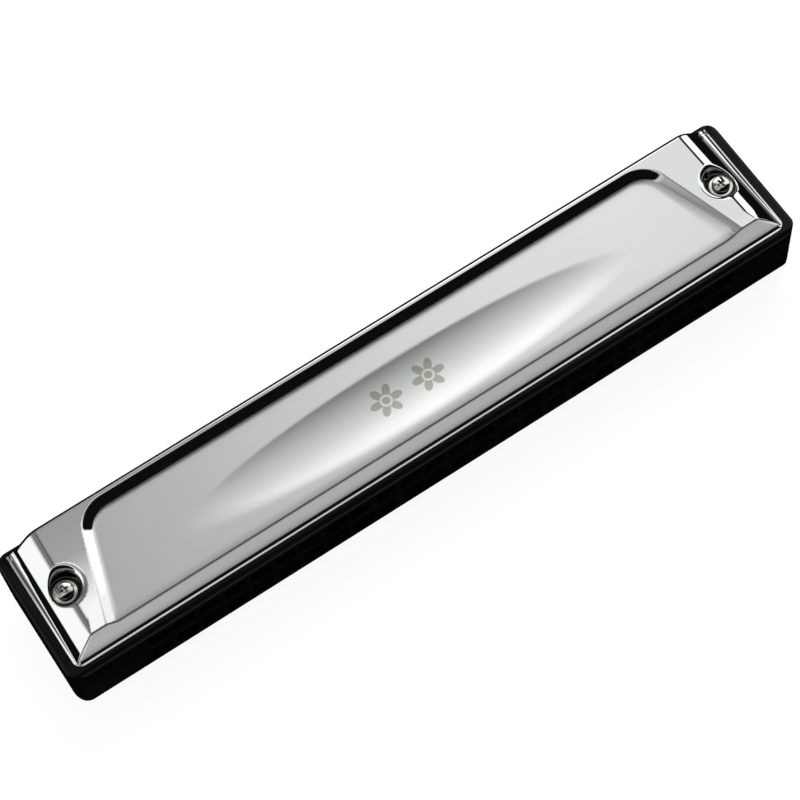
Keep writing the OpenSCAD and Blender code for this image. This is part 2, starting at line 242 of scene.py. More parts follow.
def outside(x, y, z):
    """Above 0 over the sheet's outer face and below 0 under it."""
    u = np.abs(x)
    front = front_slope(y, z)
    end = end_slope(u, y, z)
    slopes = soft_max(front, end, HIP_SOFTNESS)
    at_front = ramp(front - end, -0.6, 0.6)
    near_front = ramp(front - end, -2.6, 0.6)
    softness = FRONT_SOFTNESS * near_front + END_SOFTNESS * (1.0 - near_front)
    form = soft_max(z - plateau(x, y), slopes, softness)
    inward = np.minimum(inside_flange(x, y), FLANGE_W)
    at_corner = ramp(u, FOOT_X - 1.2, FOOT_X) * ramp(y, -9.0, -13.0)
    rise = FLANGE_RISE * (1.0 - at_corner) * (1.0 - at_front)
    flange = z - SHEET - rise * soft_max(inward - FLANGE_RIM, np.zeros_like(inward), 0.1)
    form = soft_min(form, flange, FOOT_SOFTNESS)
    form = soft_min(form, foot_facet(u, y, z), FACET_SOFTNESS)
    form = soft_max(form, -inward, FLANGE_EDGE_R)
    r = np.hypot(u - SCREW_X, y - SCREW_Y)
    wall = (r - DIMPLE_R - DIMPLE_SLANT * (z - SEAT_Z)) / math.hypot(1.0, DIMPLE_SLANT)
    well = soft_max(wall, SEAT_Z - z, DIMPLE_FLOOR_SOFTNESS)
    rim = DIMPLE_LOW_RIM + (DIMPLE_TOP_RIM - DIMPLE_LOW_RIM) * ramp(z, SEAT_Z, TOP)
    return soft_max(form, -well, rim)


def height(x, y):
    low = np.full_like(x, 0.2)
    high = np.full_like(x, TOP + 0.6)
    for _ in range(34):
        mid = (low + high) / 2
        above = outside(x, y, mid) > 0
        high = np.where(above, mid, high)
        low = np.where(above, low, mid)
    return (low + high) / 2


def facing(x, y, z):
    """Direction that the sheet's outer face looks in."""
    d = 0.01
    slope = np.stack([
        outside(x + d, y, z) - outside(x - d, y, z),
        outside(x, y + d, z) - outside(x, y - d, z),
        outside(x, y, z + d) - outside(x, y, z - d),
    ], axis=1)
    return slope / np.linalg.norm(slope, axis=1, keepdims=True)


# Where the satin finish starts, from the foot of the bevel and from the edges of the front's slope
SATIN_START = -0.4
SATIN_LEFT_START = 0.25
SATIN_RIGHT_START = -0.35
SATIN_CREASE_LAP = 0.6
SATIN_CREASE_GAP = 0.1
SATIN_FOOT_GAP = 0.25
SATIN_HIP_GAP = 0.3

FOLD_Y = BACK_Y - FOLD_R * math.sin(FOLD_ANGLE) - BACK_LIP * math.cos(FOLD_ANGLE)


def press(blank):
    """Places and directions of the pressed sheet, from its flat blank, where y runs on past the fold."""
    x, v = blank[:, 0], blank[:, 1]
    y = np.minimum(v, FOLD_Y)
    z = height(x, y)
    n = facing(x, y, z)
    past = np.maximum(v - FOLD_Y, 0.0)
    turn = np.minimum(past / FOLD_R, FOLD_ANGLE) * ramp(z, 0.6, 2.4)
    beyond = np.maximum(past - FOLD_R * FOLD_ANGLE, 0.0)
    place = np.stack([
        x,
        y + FOLD_R * np.sin(turn) + beyond * np.cos(turn),
        z - FOLD_R * (1.0 - np.cos(turn)) - beyond * np.sin(turn),
    ], axis=1)
    bent = np.stack([n[:, 0] * np.cos(turn), n[:, 1] * np.cos(turn) + np.sin(turn) * n[:, 2],
                     n[:, 2] * np.cos(turn)], axis=1)
    n = np.where((past > 0)[:, None], bent, n)
    n /= np.linalg.norm(n, axis=1, keepdims=True)
    return place, n


def steps(*stretches):
    """Lines from stretch to stretch; each stretch is (end, count), and the first is the start."""
    lines = [stretches[0]]
    for end, count in stretches[1:]:
        start = lines[-1]
        lines += [start + (end - start) * (i + 1) / count for i in range(count)]
    return np.array(lines)


OPEN_X0, OPEN_X1 = 77.6, 87.9
OPEN_Y0, OPEN_Y1 = -5.2, 6.0
RING_R = 4.6
SEAT_EDGE_R = 2.96
RING_SPREAD = (0, 0.2, 0.4, 0.55, 0.7, 0.8, 0.9)
half_lines = steps(0.0, (60.0, 44), (OPEN_X0, 54), (OPEN_X1, 42), (FLANGE_X, 22))
x_lines = np.concatenate([-half_lines[:0:-1], half_lines])
FOLD_END = FOLD_Y + FOLD_R * FOLD_ANGLE
y_lines = steps(FLANGE_Y, (-13.7, 20), (-11.0, 21), (OPEN_Y0, 15), (OPEN_Y1, 28), (11.0, 10),
                (FOLD_Y, 24), (FOLD_END, 6), (FOLD_END + BACK_LIP, 2))


def grid_blank(name, columns, rows):
    """Flat grid whose lines are spread over the given places, in millimetres."""
    deselect()
    bpy.ops.mesh.primitive_grid_add(x_subdivisions=len(columns) - 1, y_subdivisions=len(rows) - 1, size=2)
    blank = bpy.context.object
    blank.name = name
    table = vertex_table(blank.data)
    i = np.rint((table[:, 0] + 1) / 2 * (len(columns) - 1)).astype(int)
    j = np.rint((table[:, 1] + 1) / 2 * (len(rows) - 1)).astype(int)
    return blank, i, j


def dimple_rings(side):
    """Flat rings from the square opening in the blank in to the screw hole."""
    in_x = x_lines[(x_lines >= OPEN_X0 - 1e-6) & (x_lines <= OPEN_X1 + 1e-6)]
    in_y = y_lines[(y_lines >= OPEN_Y0 - 1e-6) & (y_lines <= OPEN_Y1 + 1e-6)]
    outline = [(x, OPEN_Y0) for x in in_x[:-1]] + [(OPEN_X1, y) for y in in_y[:-1]]
    outline += [(x, OPEN_Y1) for x in in_x[:0:-1]] + [(OPEN_X0, y) for y in in_y[:0:-1]]
    outline = np.array(outline + outline[:1])
    middle = np.array([SCREW_X, SCREW_Y])
    out = outline - middle
    ring = out / np.linalg.norm(out, axis=1, keepdims=True)
    radii = steps(RING_R, (SEAT_EDGE_R, 11), (SCREW_HOLE_R, 5))
    rows = [out + (ring * RING_R - out) * t for t in RING_SPREAD]
    rows += [ring * r for r in radii]
    rows = [np.stack([side * (middle[0] + row[:, 0]), middle[1] + row[:, 1]], axis=1) for row in rows]
    patch, i, j = grid_blank("dimple_rings", outline, rows)
    table = np.stack([np.append(rows[b][a], 0.0) for a, b in zip(i, j)])
    set_vertices(patch.data, table)
    return patch


def sheet_blank():
    blank, i, j = grid_blank("cover_blank", x_lines, y_lines)
    x, y = x_lines[i], y_lines[j]
    across = np.maximum(np.abs(x) - (FLANGE_X - FLANGE_CORNER_R), 0.0)
    along = np.maximum(FLANGE_Y + FLANGE_CORNER_R - y, 0.0)
    reach = np.hypot(across, along)
    pull = np.where((across > 0) & (along > 0), np.maximum(across, along) / np.maximum(reach, 1e-9), 1.0)
    x = np.sign(x) * (np.abs(x) - across + across * pull)
    y = y + along - along * pull
    set_vertices(blank.data, np.stack([x, y, np.zeros_like(x)], axis=1))

    def in_opening(face):
        return OPEN_X0 < abs(face.center.x) < OPEN_X1 and OPEN_Y0 < face.center.y < OPEN_Y1

    pick_faces(blank, in_opening)
    bpy.ops.mesh.delete(type="FACE")
    bpy.ops.object.mode_set(mode="OBJECT")
    patches = [dimple_rings(side) for side in (-1, 1)]
    pick(blank)
    for patch in patches:
        patch.select_set(True)
    bpy.ops.object.join()
    bpy.ops.object.mode_set(mode="EDIT")
    bpy.ops.mesh.select_all(action="SELECT")
    bpy.ops.mesh.remove_doubles(threshold=0.002)
    bpy.ops.mesh.normals_make_consistent(inside=False)
    bpy.ops.object.mode_set(mode="OBJECT")
    if blank.data.polygons[0].normal.z < 0:
        blank.data.flip_normals()
    return blank


def lean_to_foot(x, y):
    """Grid lines moved over, so that they run along the slanting foot of the end's slope."""
    u = np.abs(x)
    before = (u - OPEN_X1) / (FOOT_X - OPEN_X1)
    after = (FLANGE_X - u) / (FLANGE_X - FOOT_X)
    share = np.clip(np.minimum(before, after), 0.0, 1.0)
    return x - np.sign(x) * FOOT_SKEW * y * share * ramp(y, FLANGE_Y + FLANGE_CORNER_R, -10.0)


def satin_distance(x, y):
    """Distance inside the satin finish of the panel and of the front's slope."""
    distance, turned = inside_panel(x, y)
    width = bevel_shape(x, turned)[0]
    start = width + SATIN_START + np.where(x < 0, SATIN_LEFT_START, SATIN_RIGHT_START) * turned
    on_panel = np.minimum(distance - start, y - CREASE_Y + SATIN_CREASE_LAP)
    half = FOOT_X - (FOOT_X - CREASE_X) * (y - FOOT_Y) / (CREASE_Y - FOOT_Y)
    in_depth = np.minimum(CREASE_Y + SATIN_CREASE_GAP - y, y - FOOT_Y - SATIN_FOOT_GAP)
    on_front = np.minimum(in_depth, half - np.abs(x) - SATIN_HIP_GAP)
    return np.maximum(on_panel, on_front)


def thicken(cover, side):
    """Give the pressed face the sheet's thickness, and lift its inner face out of the comb."""
    pick(cover)
    shell = cover.modifiers.new("sheet", "SOLIDIFY")
    shell.thickness = SHEET * MM
    shell.offset = -1
    shell.use_even_offset = False
    bpy.ops.object.modifier_apply(modifier="sheet")
    bpy.ops.object.shade_smooth()
    table = vertex_table(cover.data)
    over_comb = side * (table[:, 2] / MM - BODY_MID) - COMB_HALF_H
    table[:, 2] += side * np.maximum(-over_comb, 0.0) * MM
    set_vertices(cover.data, table)


def mark_satin(mesh, flat):
    """Note how far inside the satin finish each vertex lies; the inner face has none of it."""
    satin = np.full(len(mesh.vertices), -5.0)
    satin[:len(flat)] = satin_distance(flat[:, 0], flat[:, 1])
    layer = mesh.attributes.new("satin_distance", "FLOAT", "POINT")
    layer.data.foreach_set("value", satin.astype(np.float32))


def shine_as_pressed(mesh, normal):
    """Let both faces of the sheet shine as the true form does, and its cut rim lie flat."""
    count = len(normal)
    corner_vertex = np.empty(len(mesh.loops), np.int32)
    mesh.loops.foreach_get("vertex_index", corner_vertex)
    corner_normal = np.empty((len(mesh.loops), 3))
    outer = corner_vertex < count
    corner_normal[outer] = normal[corner_vertex[outer]]
    corner_normal[~outer] = -normal[corner_vertex[~outer] - count]
    for face in mesh.polygons:
        on_both = {corner_vertex[k] < count for k in face.loop_indices}
        if len(on_both) == 2:
            for k in face.loop_indices:
                corner_normal[k] = face.normal
    mesh.normals_split_custom_set([tuple(n) for n in corner_normal])


def pressed_cover(name, side, blank):
    """One cover; side is 1 for the upper one and -1 for the lower one."""
    cover = blank.copy()
    cover.data = blank.data.copy()
    cover.name = name
    bpy.context.scene.collection.objects.link(cover)
    flat = vertex_table(cover.data)
    flat[:, 0] = lean_to_foot(flat[:, 0], flat[:, 1])
    place, normal = press(flat)
    place[:, 2] = BODY_MID + side * (COMB_HALF_H + place[:, 2])
    normal[:, 2] *= side
    set_vertices(cover.data, place * MM)
    if side < 0:
        cover.data.flip_normals()
    thicken(cover, side)
    mark_satin(cover.data, flat)
    shine_as_pressed(cover.data, normal)
    return cover


# Finishes

def node_group(name, inputs, outputs):
    group = bpy.data.node_groups.new(name, "ShaderNodeTree")
    for label, kind, value in inputs:
        socket = group.interface.new_socket(name=label, in_out="INPUT", socket_type=kind)
        if value is not None:
            socket.default_value = value
    for label, kind in outputs:
        group.interface.new_socket(name=label, in_out="OUTPUT", socket_type=kind)
    return group, group.nodes.new("NodeGroupInput"), group.nodes.new("NodeGroupOutput")


class Tree:
    """Short way to write a node tree."""

    def __init__(self, tree):
        self.tree = tree

    def node(self, kind, **settings):
        made = self.tree.nodes.new(kind)
        for key, value in settings.items():
            setattr(made, key, value)
        return made

    def link(self, source, target):
        self.tree.links.new(source, target)

    def feed(self, value, socket):
        """Give a socket a number, a colour or what another node puts out."""
        if isinstance(value, (int, float)):
            socket.default_value = value
        elif isinstance(value, tuple):
            socket.default_value = (*value, 1.0)
        else:
            self.link(value, socket)

    def math(self, operation, a, b=0.0, c=0.0):
        made = self.node("ShaderNodeMath", operation=operation)
        for socket, value in zip(made.inputs, (a, b, c)):
            self.feed(value, socket)
        return made.outputs[0]

    def ramp(self, value, low, high):
        """Number that eases from 0 at low to 1 at high."""
        made = self.node("ShaderNodeMapRange", interpolation_type="SMOOTHSTEP")
        made.inputs["From Min"].default_value = low
        made.inputs["From Max"].default_value = high
        self.link(value, made.inputs["Value"])
        return made.outputs["Result"]

    def between(self, value, low, high, fade):
        """Mask that is 0 outside low to high, and eases up to 1 over the width fade inside both ends."""
        return self.math("MULTIPLY", self.ramp(value, high, high - fade), self.ramp(value, low, low + fade))

    def seen_directly(self):
        """1 for rays from the camera, and for those that metal or glass sends on."""
        rays = self.node("ShaderNodeLightPath").outputs
        sent_on = self.math("MAXIMUM", rays["Is Glossy Ray"], rays["Is Transmission Ray"])
        return self.math("MAXIMUM", rays["Is Camera Ray"], sent_on)

    def painted_shade_in_reflections(self, colour, share):
        """Colour that loses the given share of its light each time that polished metal mirrors it: painted
        shade, which darkens the reflections inside recesses such as the dimples.
        """
        mirrored = self.node("ShaderNodeLightPath").outputs["Is Glossy Ray"]
        return self.mix_colour(self.math("MULTIPLY", mirrored, share), colour, (0.0, 0.0, 0.0))

    def place(self):
        return self.node("ShaderNodeTexCoord").outputs["Object"]

    def stretched(self, scale):
        made = self.node("ShaderNodeMapping")
        made.inputs["Scale"].default_value = scale
        self.link(self.place(), made.inputs["Vector"])
        return made.outputs["Vector"]

    def noise(self, vector, scale, detail=3.0, roughness=0.5):
        made = self.node("ShaderNodeTexNoise")
        made.inputs["Scale"].default_value = scale
        made.inputs["Detail"].default_value = detail
        made.inputs["Roughness"].default_value = roughness
        self.link(vector, made.inputs["Vector"])
        return made.outputs["Fac"]

    def stops(self, value, places):
        """Number that runs straight from stop to stop, for a value from -1 to 1."""
        made = self.node("ShaderNodeValToRGB")
        row = made.color_ramp.elements
        made.color_ramp.interpolation = "LINEAR"
        for stop, (at, level) in zip(row, (places[0], places[-1])):
            stop.position = at * 0.5 + 0.5
            stop.color = (*[level / TENT_LIGHT] * 3, 1.0)
        for at, level in places[1:-1]:
            row.new(at * 0.5 + 0.5).color = (*[level / TENT_LIGHT] * 3, 1.0)
        self.link(self.math("MULTIPLY_ADD", value, 0.5, 0.5), made.inputs["Fac"])
        return self.math("MULTIPLY", made.outputs["Color"], TENT_LIGHT)

    def blend(self, factor, a, b):
        made = self.node("ShaderNodeMix", data_type="FLOAT")
        for index, value in ((0, factor), (2, a), (3, b)):
            self.feed(value, made.inputs[index])
        return made.outputs[0]

    def mix_colour(self, factor, a, b):
        made = self.node("ShaderNodeMix", data_type="RGBA")
        for index, value in ((0, factor), (6, a), (7, b)):
            self.feed(value, made.inputs[index])
        return made.outputs[2]

    def bump(self, height_value, strength, distance):
        made = self.node("ShaderNodeBump")
        made.inputs["Strength"].default_value = strength
        made.inputs["Distance"].default_value = distance
        self.link(height_value, made.inputs["Height"])
        return made.outputs["Normal"]


def handling_group():
    """Faint smears and fine scratches that handling leaves on polished metal and moulded plastic."""
    group, into, out = node_group(
        "handling_marks",
        [("Smear Scale", "NodeSocketFloat", 60.0), ("Scratch Scale", "NodeSocketFloat", 900.0)],
        [("Smear", "NodeSocketFloat"), ("Scratch", "NodeSocketFloat")],
    )
    t = Tree(group)
    smear = t.node("ShaderNodeTexNoise")
    smear.inputs["Detail"].default_value = 4.0
    t.link(t.place(), smear.inputs["Vector"])
    t.link(into.outputs["Smear Scale"], smear.inputs["Scale"])
    t.link(t.ramp(smear.outputs["Fac"], 0.45, 0.8), out.inputs["Smear"])
    scratch = t.node("ShaderNodeTexNoise")
    scratch.inputs["Detail"].default_value = 1.0
    t.link(t.stretched((0.06, 1.0, 0.4)), scratch.inputs["Vector"])
    t.link(into.outputs["Scratch Scale"], scratch.inputs["Scale"])
    t.link(t.ramp(scratch.outputs["Fac"], 0.72, 0.82), out.inputs["Scratch"])
    return group


handling_marks = handling_group()


def finish_of(name):
    material = bpy.data.materials.new(name)
    material.use_nodes = True
    tree = Tree(material.node_tree)
    shader = material.node_tree.nodes["Principled BSDF"]
    return material, tree, shader


def marks(tree, smear_scale, scratch_scale):
    used = tree.node("ShaderNodeGroup", node_tree=handling_marks)
    used.inputs["Smear Scale"].default_value = smear_scale
    used.inputs["Scratch Scale"].default_value = scratch_scale
    return used.outputs["Smear"], used.outputs["Scratch"]


# The rosettes' places and radius, and as shares of it the waist between petals and the ring round the heart
ROSETTE_X = (-5.2, 5.4)
ROSETTE_Y = -1.4
ROSETTE_R = 3.9
ROSETTE_WAIST = 0.35
ROSETTE_HEART = 0.3
ROSETTE_PETALS = 6


def etched_rosette(t, x, y, along):
    """Mask of a six-petalled ornament etched into the middle of the dish."""
    dx = t.math("SUBTRACT", x, along * MM)
    dy = t.math("SUBTRACT", y, ROSETTE_Y * MM)
    reach = t.math("SQRT", t.math("MULTIPLY_ADD", dx, dx, t.math("MULTIPLY", dy, dy)))
    turn = t.math("ARCTAN2", dy, dx)
    wave = t.math("COSINE", t.math("MULTIPLY", turn, ROSETTE_PETALS / 2))
    petal = (1.0 - ROSETTE_WAIST) * ROSETTE_R * MM
    edge = t.math("MULTIPLY_ADD", t.math("ABSOLUTE", wave), petal, ROSETTE_WAIST * ROSETTE_R * MM)
    inside = t.ramp(t.math("SUBTRACT", edge, reach), -0.06 * MM, 0.06 * MM)
    from_heart = t.math("SUBTRACT", reach, ROSETTE_HEART * ROSETTE_R * MM)
    off_heart_line = t.ramp(t.math("ABSOLUTE", from_heart), 0.2 * MM, 0.32 * MM)
    return t.math("MULTIPLY", inside, off_heart_line)


def chrome_finish():
    """Polished plate with the satin finish of the sunk panel."""
    material, t, shader = finish_of("cover_chrome")
    inside = t.node("ShaderNodeAttribute", attribute_name="satin_distance").outputs["Fac"]
    satin = t.ramp(inside, -0.12, 0.12)
    smear, scratch = marks(t, 35.0, 700.0)
    grain = t.noise(t.place(), 5200.0, 2.0, 0.6)
    cloudy = t.noise(t.place(), 45.0, 3.0)
    shader.inputs["Metallic"].default_value = 1.0
    colour = t.mix_colour(satin, (0.94, 0.958, 0.95), (0.91, 0.94, 0.928))
    split = t.node("ShaderNodeSeparateXYZ")
    t.link(t.place(), split.inputs[0])
    left, right = (etched_rosette(t, *split.outputs[:2], along) for along in ROSETTE_X)
    etched = t.math("MULTIPLY", t.math("MAXIMUM", left, right), satin)
    colour = t.mix_colour(etched, colour, (0.55, 0.54, 0.47))
    colour = t.mix_colour(t.math("MULTIPLY", smear, 0.12), colour, (0.88, 0.885, 0.88))
    # Painted shade: where polished metal mirrors it, the polished plate's colour keeps only 15%, which
    # darkens its reflections in the dimples; the satin keeps its colour.
    share = t.math("MULTIPLY_ADD", satin, -0.85, 0.85)
    t.link(t.painted_shade_in_reflections(colour, share), shader.inputs["Base Color"])
    polished = t.math("MULTIPLY_ADD", scratch, 0.02, 0.025)
    rough = t.math("MULTIPLY_ADD", cloudy, 0.04, 0.36)
    mix = t.math("MULTIPLY_ADD", satin, t.math("SUBTRACT", rough, polished), polished)
    t.link(mix, shader.inputs["Roughness"])
    t.link(t.bump(t.math("MULTIPLY", grain, satin), 0.12, 0.00003), shader.inputs["Normal"])
    return material


def plastic_finish():
    material, t, shader = finish_of("comb_black")
    smear, scratch = marks(t, 50.0, 500.0)
    shader.inputs["Specular IOR Level"].default_value = 0.15
    t.link(t.mix_colour(smear, (0.002, 0.002, 0.0022), (0.004, 0.004, 0.0042)), shader.inputs["Base Color"])
    rough = t.math("MULTIPLY_ADD", scratch, 0.06, 0.2)
    t.link(t.math("MULTIPLY_ADD", smear, 0.05, rough), shader.inputs["Roughness"])
    t.link(t.bump(t.noise(t.place(), 120.0, 2.0), 0.03, 0.0001), shader.inputs["Normal"])
    return material


def brass_finish(name, base, dull, rough, lines):
    """Rolled or filed brass; lines is how the fine lines are stretched along each axis."""
    material, t, shader = finish_of(name)
    smear = marks(t, 90.0, 600.0)[0]
    shader.inputs["Metallic"].default_value = 1.0
    filed = t.noise(t.stretched(lines), 1500.0, 2.0)
    t.link(t.mix_colour(smear, base, dull), shader.inputs["Base Color"])
    t.link(t.math("MULTIPLY_ADD", filed, 0.12, rough), shader.inputs["Roughness"])
    t.link(t.bump(filed, 0.1, 0.00005), shader.inputs["Normal"])
    return material


def steel_finish(name, base, rough):
    material, t, shader = finish_of(name)
    smear, scratch = marks(t, 400.0, 3000.0)
    shader.inputs["Metallic"].default_value = 1.0
    colour = t.mix_colour(smear, base, tuple(0.8 * c for c in base))
    # Painted shade: where polished metal mirrors this steel, its colour keeps only a fifth, which darkens
    # the reflections of screws and washers in the dimple walls.
    t.link(t.painted_shade_in_reflections(colour, 0.8), shader.inputs["Base Color"])
    dull = t.math("MULTIPLY_ADD", smear, 0.03, rough)
    t.link(t.math("MULTIPLY_ADD", scratch, 0.06, dull), shader.inputs["Roughness"])
    t.link(t.bump(t.noise(t.place(), 2500.0, 2.0), 0.05, 0.00003), shader.inputs["Normal"])
    return material


chrome = chrome_finish()
comb_black = plastic_finish()
plate_brass = brass_finish("plate_brass", (0.78, 0.58, 0.28), (0.62, 0.43, 0.2), 0.25, (0.05, 1.0, 1.0))
reed_brass = brass_finish("reed_brass", (0.86, 0.68, 0.34), (0.72, 0.54, 0.26), 0.2, (1.0, 0.05, 1.0))
rivet_brass = brass_finish("rivet_brass", (0.8, 0.6, 0.27), (0.65, 0.46, 0.2), 0.22, (1.0, 1.0, 1.0))
nail_steel = steel_finish("nail_steel", (0.6, 0.6, 0.58), 0.28)
screw_steel = steel_finish("screw_nickel", (0.82, 0.79, 0.74), 0.04)


def dress(obj, material):
    obj.data.materials.clear()
    obj.data.materials.append(material)


for name, obj in nodes.items():
    if name == "comb":
        dress(obj, comb_black)
    elif "reed_plate" in name:
        dress(obj, plate_brass)
    elif "rivets" in name:
        dress(obj, rivet_brass)
    elif "nails" in name:
        dress(obj, nail_steel)
    elif "_reed_" in name:
        dress(obj, reed_brass)
    elif name in ("cover_screws", "cover_washers"):
        dress(obj, screw_steel)


# Covers

blank = sheet_blank()
for name, side in (("upper_cover", 1), ("lower_cover", -1)):
    cover = pressed_cover(name + "_sheet", side, blank)
    dress(cover, chrome)
    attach(cover, "harmonica")
    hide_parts(name)
bpy.data.objects.remove(blank)


# Comb

# The bevel asked for on the comb's edges, which its closest corners cut back to a hairline
COMB_BEVEL = 0.35


def merged_copy(node, name):
    """A piece of its own that starts from the node's solid, with its doubled corners joined."""
    piece = bpy.data.objects.new(name, nodes[node].data.copy())
    bpy.context.scene.collection.objects.link(piece)
    pick(piece)
    bpy.ops.object.mode_set(mode="EDIT")
    bpy.ops.mesh.select_all(action="SELECT")
    bpy.ops.mesh.remove_doubles(threshold=1e-6)
    bpy.ops.mesh.dissolve_limited(angle_limit=math.radians(0.5))
    bpy.ops.object.mode_set(mode="OBJECT")
    return piece


def bevelled_comb():
    """The comb with a hairline bevel on all its edges."""
    comb = merged_copy("comb", "comb_moulding")
    bpy.ops.object.mode_set(mode="EDIT")
    bpy.ops.mesh.select_mode(type="EDGE")
    bpy.ops.mesh.select_all(action="SELECT")
    bpy.ops.mesh.bevel(offset=COMB_BEVEL * MM, segments=3, affect="EDGES", clamp_overlap=True)
    bpy.ops.object.mode_set(mode="OBJECT")
    bpy.ops.object.shade_smooth_by_angle(angle=math.radians(30))
    return comb


comb = bevelled_comb()
dress(comb, comb_black)
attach(comb, "harmonica")
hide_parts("comb")


# Screws and washers

HEAD_R = 2.0
HEAD_H = 1.3
WASHER_R = 2.7
WASHER_T = 0.45
SHANK_R = 1.2
SHANK_L = 8.5
HEAD_EDGE_R = 0.35
DOME_EDGE = math.radians(22)
DOME_EDGE_R = HEAD_R - HEAD_EDGE_R + HEAD_EDGE_R * math.sin(DOME_EDGE)
DOME_R = DOME_EDGE_R / math.sin(DOME_EDGE)
CROSS_L = 2.1
CROSS_W = 0.62
CROSS_DEPTH = 0.9


def turned(name, outline, turns=64):
    """A round piece spun about Z from half its outline, a list of (radius, height) in millimetres."""
    deselect()
    bpy.ops.mesh.primitive_circle_add(vertices=len(outline), radius=1.0, fill_type="NOTHING")
    piece = bpy.context.object
    piece.name = name
    for vertex, (r, z) in zip(piece.data.vertices, outline):
        vertex.co = (r * MM, 0.0, z * MM)
    bpy.ops.object.mode_set(mode="EDIT")
    bpy.ops.mesh.select_mode(type="EDGE")
    bpy.ops.mesh.select_all(action="SELECT")
    bpy.ops.mesh.spin(steps=turns, angle=math.tau, center=(0, 0, 0), axis=(0, 0, 1))
    bpy.ops.mesh.select_all(action="SELECT")
    bpy.ops.mesh.remove_doubles(threshold=1e-6)
    bpy.ops.mesh.dissolve_degenerate(threshold=1e-6)
    bpy.ops.mesh.normals_make_consistent(inside=False)
    bpy.ops.object.mode_set(mode="OBJECT")
    return piece


def arc(mid_r, mid_z, radius, start, end, count):
    """Points of an arc, with its angles in degrees from the radius line."""
    angles = [math.radians(start + (end - start) * i / count) for i in range(count + 1)]
    return [(mid_r + radius * math.cos(a), mid_z + radius * math.sin(a)) for a in angles]


def cross_cutter():
    """Two tapered bars with rounded edges, to sink the cross into a screw head."""
    bars = []
    for turn in (0.0, 90.0):
        deselect()
        bpy.ops.mesh.primitive_cube_add(size=1.0)
        bar = bpy.context.object
        bar.scale = (CROSS_L * MM, CROSS_W * MM, 2 * CROSS_DEPTH * MM)
        bpy.ops.object.transform_apply(location=False, rotation=False, scale=True)
        bpy.ops.object.mode_set(mode="EDIT")
        bpy.ops.mesh.select_mode(type="EDGE")
        bpy.ops.mesh.select_all(action="SELECT")
        bpy.ops.mesh.bevel(offset=0.45 * CROSS_W * MM, segments=4, affect="EDGES")
        bpy.ops.object.mode_set(mode="OBJECT")
        bar.rotation_euler = (0, 0, math.radians(turn))
        bpy.ops.object.transform_apply(location=False, rotation=True, scale=False)
        pick_faces(bar, lambda face: face.normal.z < -0.9)
        bpy.ops.transform.resize(value=(0.7, 0.7, 1.0))
        bpy.ops.object.mode_set(mode="OBJECT")
        bars.append(bar)
    pick(bars[0])
    bars[1].select_set(True)
    bpy.ops.object.join()
    return bars[0]


def round_dome(mesh):
    """Let the dome of the head shine as one true sphere."""
    middle = Vector((0.0, 0.0, (HEAD_H - DOME_R) * MM))
    from_middle = [v.co - middle for v in mesh.vertices]
    on_dome = [abs(out.length - DOME_R * MM) < 0.004 * MM for out in from_middle]
    normals = [corner.vector.copy() for corner in mesh.corner_normals]
    for face in mesh.polygons:
        if all(on_dome[k] for k in face.vertices):
            for corner in face.loop_indices:
                normals[corner] = from_middle[mesh.loops[corner].vertex_index].normalized()
    mesh.normals_split_custom_set(normals)


def screw_model():
    """One cross-head screw, with the underside of its head at height 0."""
    outline = [(0.0, -SHANK_L), (SHANK_R * 0.4, -SHANK_L), (SHANK_R, -SHANK_L + 1.2), (SHANK_R, 0.0)]
    outline += [(HEAD_R - 0.12, 0.0)] + arc(HEAD_R - 0.12, 0.12, 0.12, -90, 0, 3)
    dome_edge_z = HEAD_H - DOME_R * (1 - math.cos(DOME_EDGE))
    edge_z = dome_edge_z - HEAD_EDGE_R * math.cos(DOME_EDGE)
    outline += arc(HEAD_R - HEAD_EDGE_R, edge_z, HEAD_EDGE_R, 0, 90 - math.degrees(DOME_EDGE), 8)
    rings = [DOME_EDGE * t for t in (0.85, 0.7, 0.55, 0.4, 0.25, 0.1, 0.0)]
    outline += [(DOME_R * math.sin(a), HEAD_H - DOME_R * (1 - math.cos(a))) for a in rings]
    screw = turned("screw_model", outline)
    cutter = cross_cutter()
    cutter.location = (0, 0, HEAD_H * MM)
    pick(screw)
    cut = screw.modifiers.new("cross", "BOOLEAN")
    cut.object = cutter
    cut.operation = "DIFFERENCE"
    cut.use_self = True
    bpy.ops.object.modifier_apply(modifier="cross")
    bpy.data.objects.remove(cutter)
    bpy.ops.object.shade_smooth_by_angle(angle=math.radians(35))
    round_dome(screw.data)
    return screw


def washer_model():
    """A ring with a rounded outer edge and a slightly domed top, lying on height 0."""
    hole = SHANK_R + 0.1
    edge = 0.2
    outline = [(hole, 0.0), (WASHER_R - 0.05, 0.0), (WASHER_R, 0.05)]
    outline += arc(WASHER_R - edge, WASHER_T - 0.04 - edge, edge, 0, 84, 8)
    outline += [(HEAD_R, WASHER_T - 0.005), (hole + 0.06, WASHER_T), (hole, WASHER_T - 0.06)]
    washer = turned("washer_model", outline)
    bpy.ops.object.shade_smooth_by_angle(angle=math.radians(30))
    return washer


def placed_copies(model, name, seat, turns):
    """Copies of a model on both covers and at both ends, each with its own mesh."""
    for side, level in (("upper", 1), ("lower", -1)):
        for end, along in (("left", -1), ("right", 1)):
            piece = model.copy()
            piece.data = model.data.copy()
            piece.name = f"{side}_{name}_{end}"
            bpy.context.scene.collection.objects.link(piece)
            flip = Euler((0.0 if level > 0 else math.pi, 0.0, math.radians(turns[side, end])), "XYZ")
            piece.rotation_euler = flip
            seat_z = BODY_MID + level * (COMB_HALF_H + seat)
            piece.location = (along * SCREW_X * MM, SCREW_Y * MM, seat_z * MM)
            pick(piece)
            bpy.ops.object.transform_apply(location=True, rotation=True, scale=True)
            yield piece
    bpy.data.objects.remove(model)


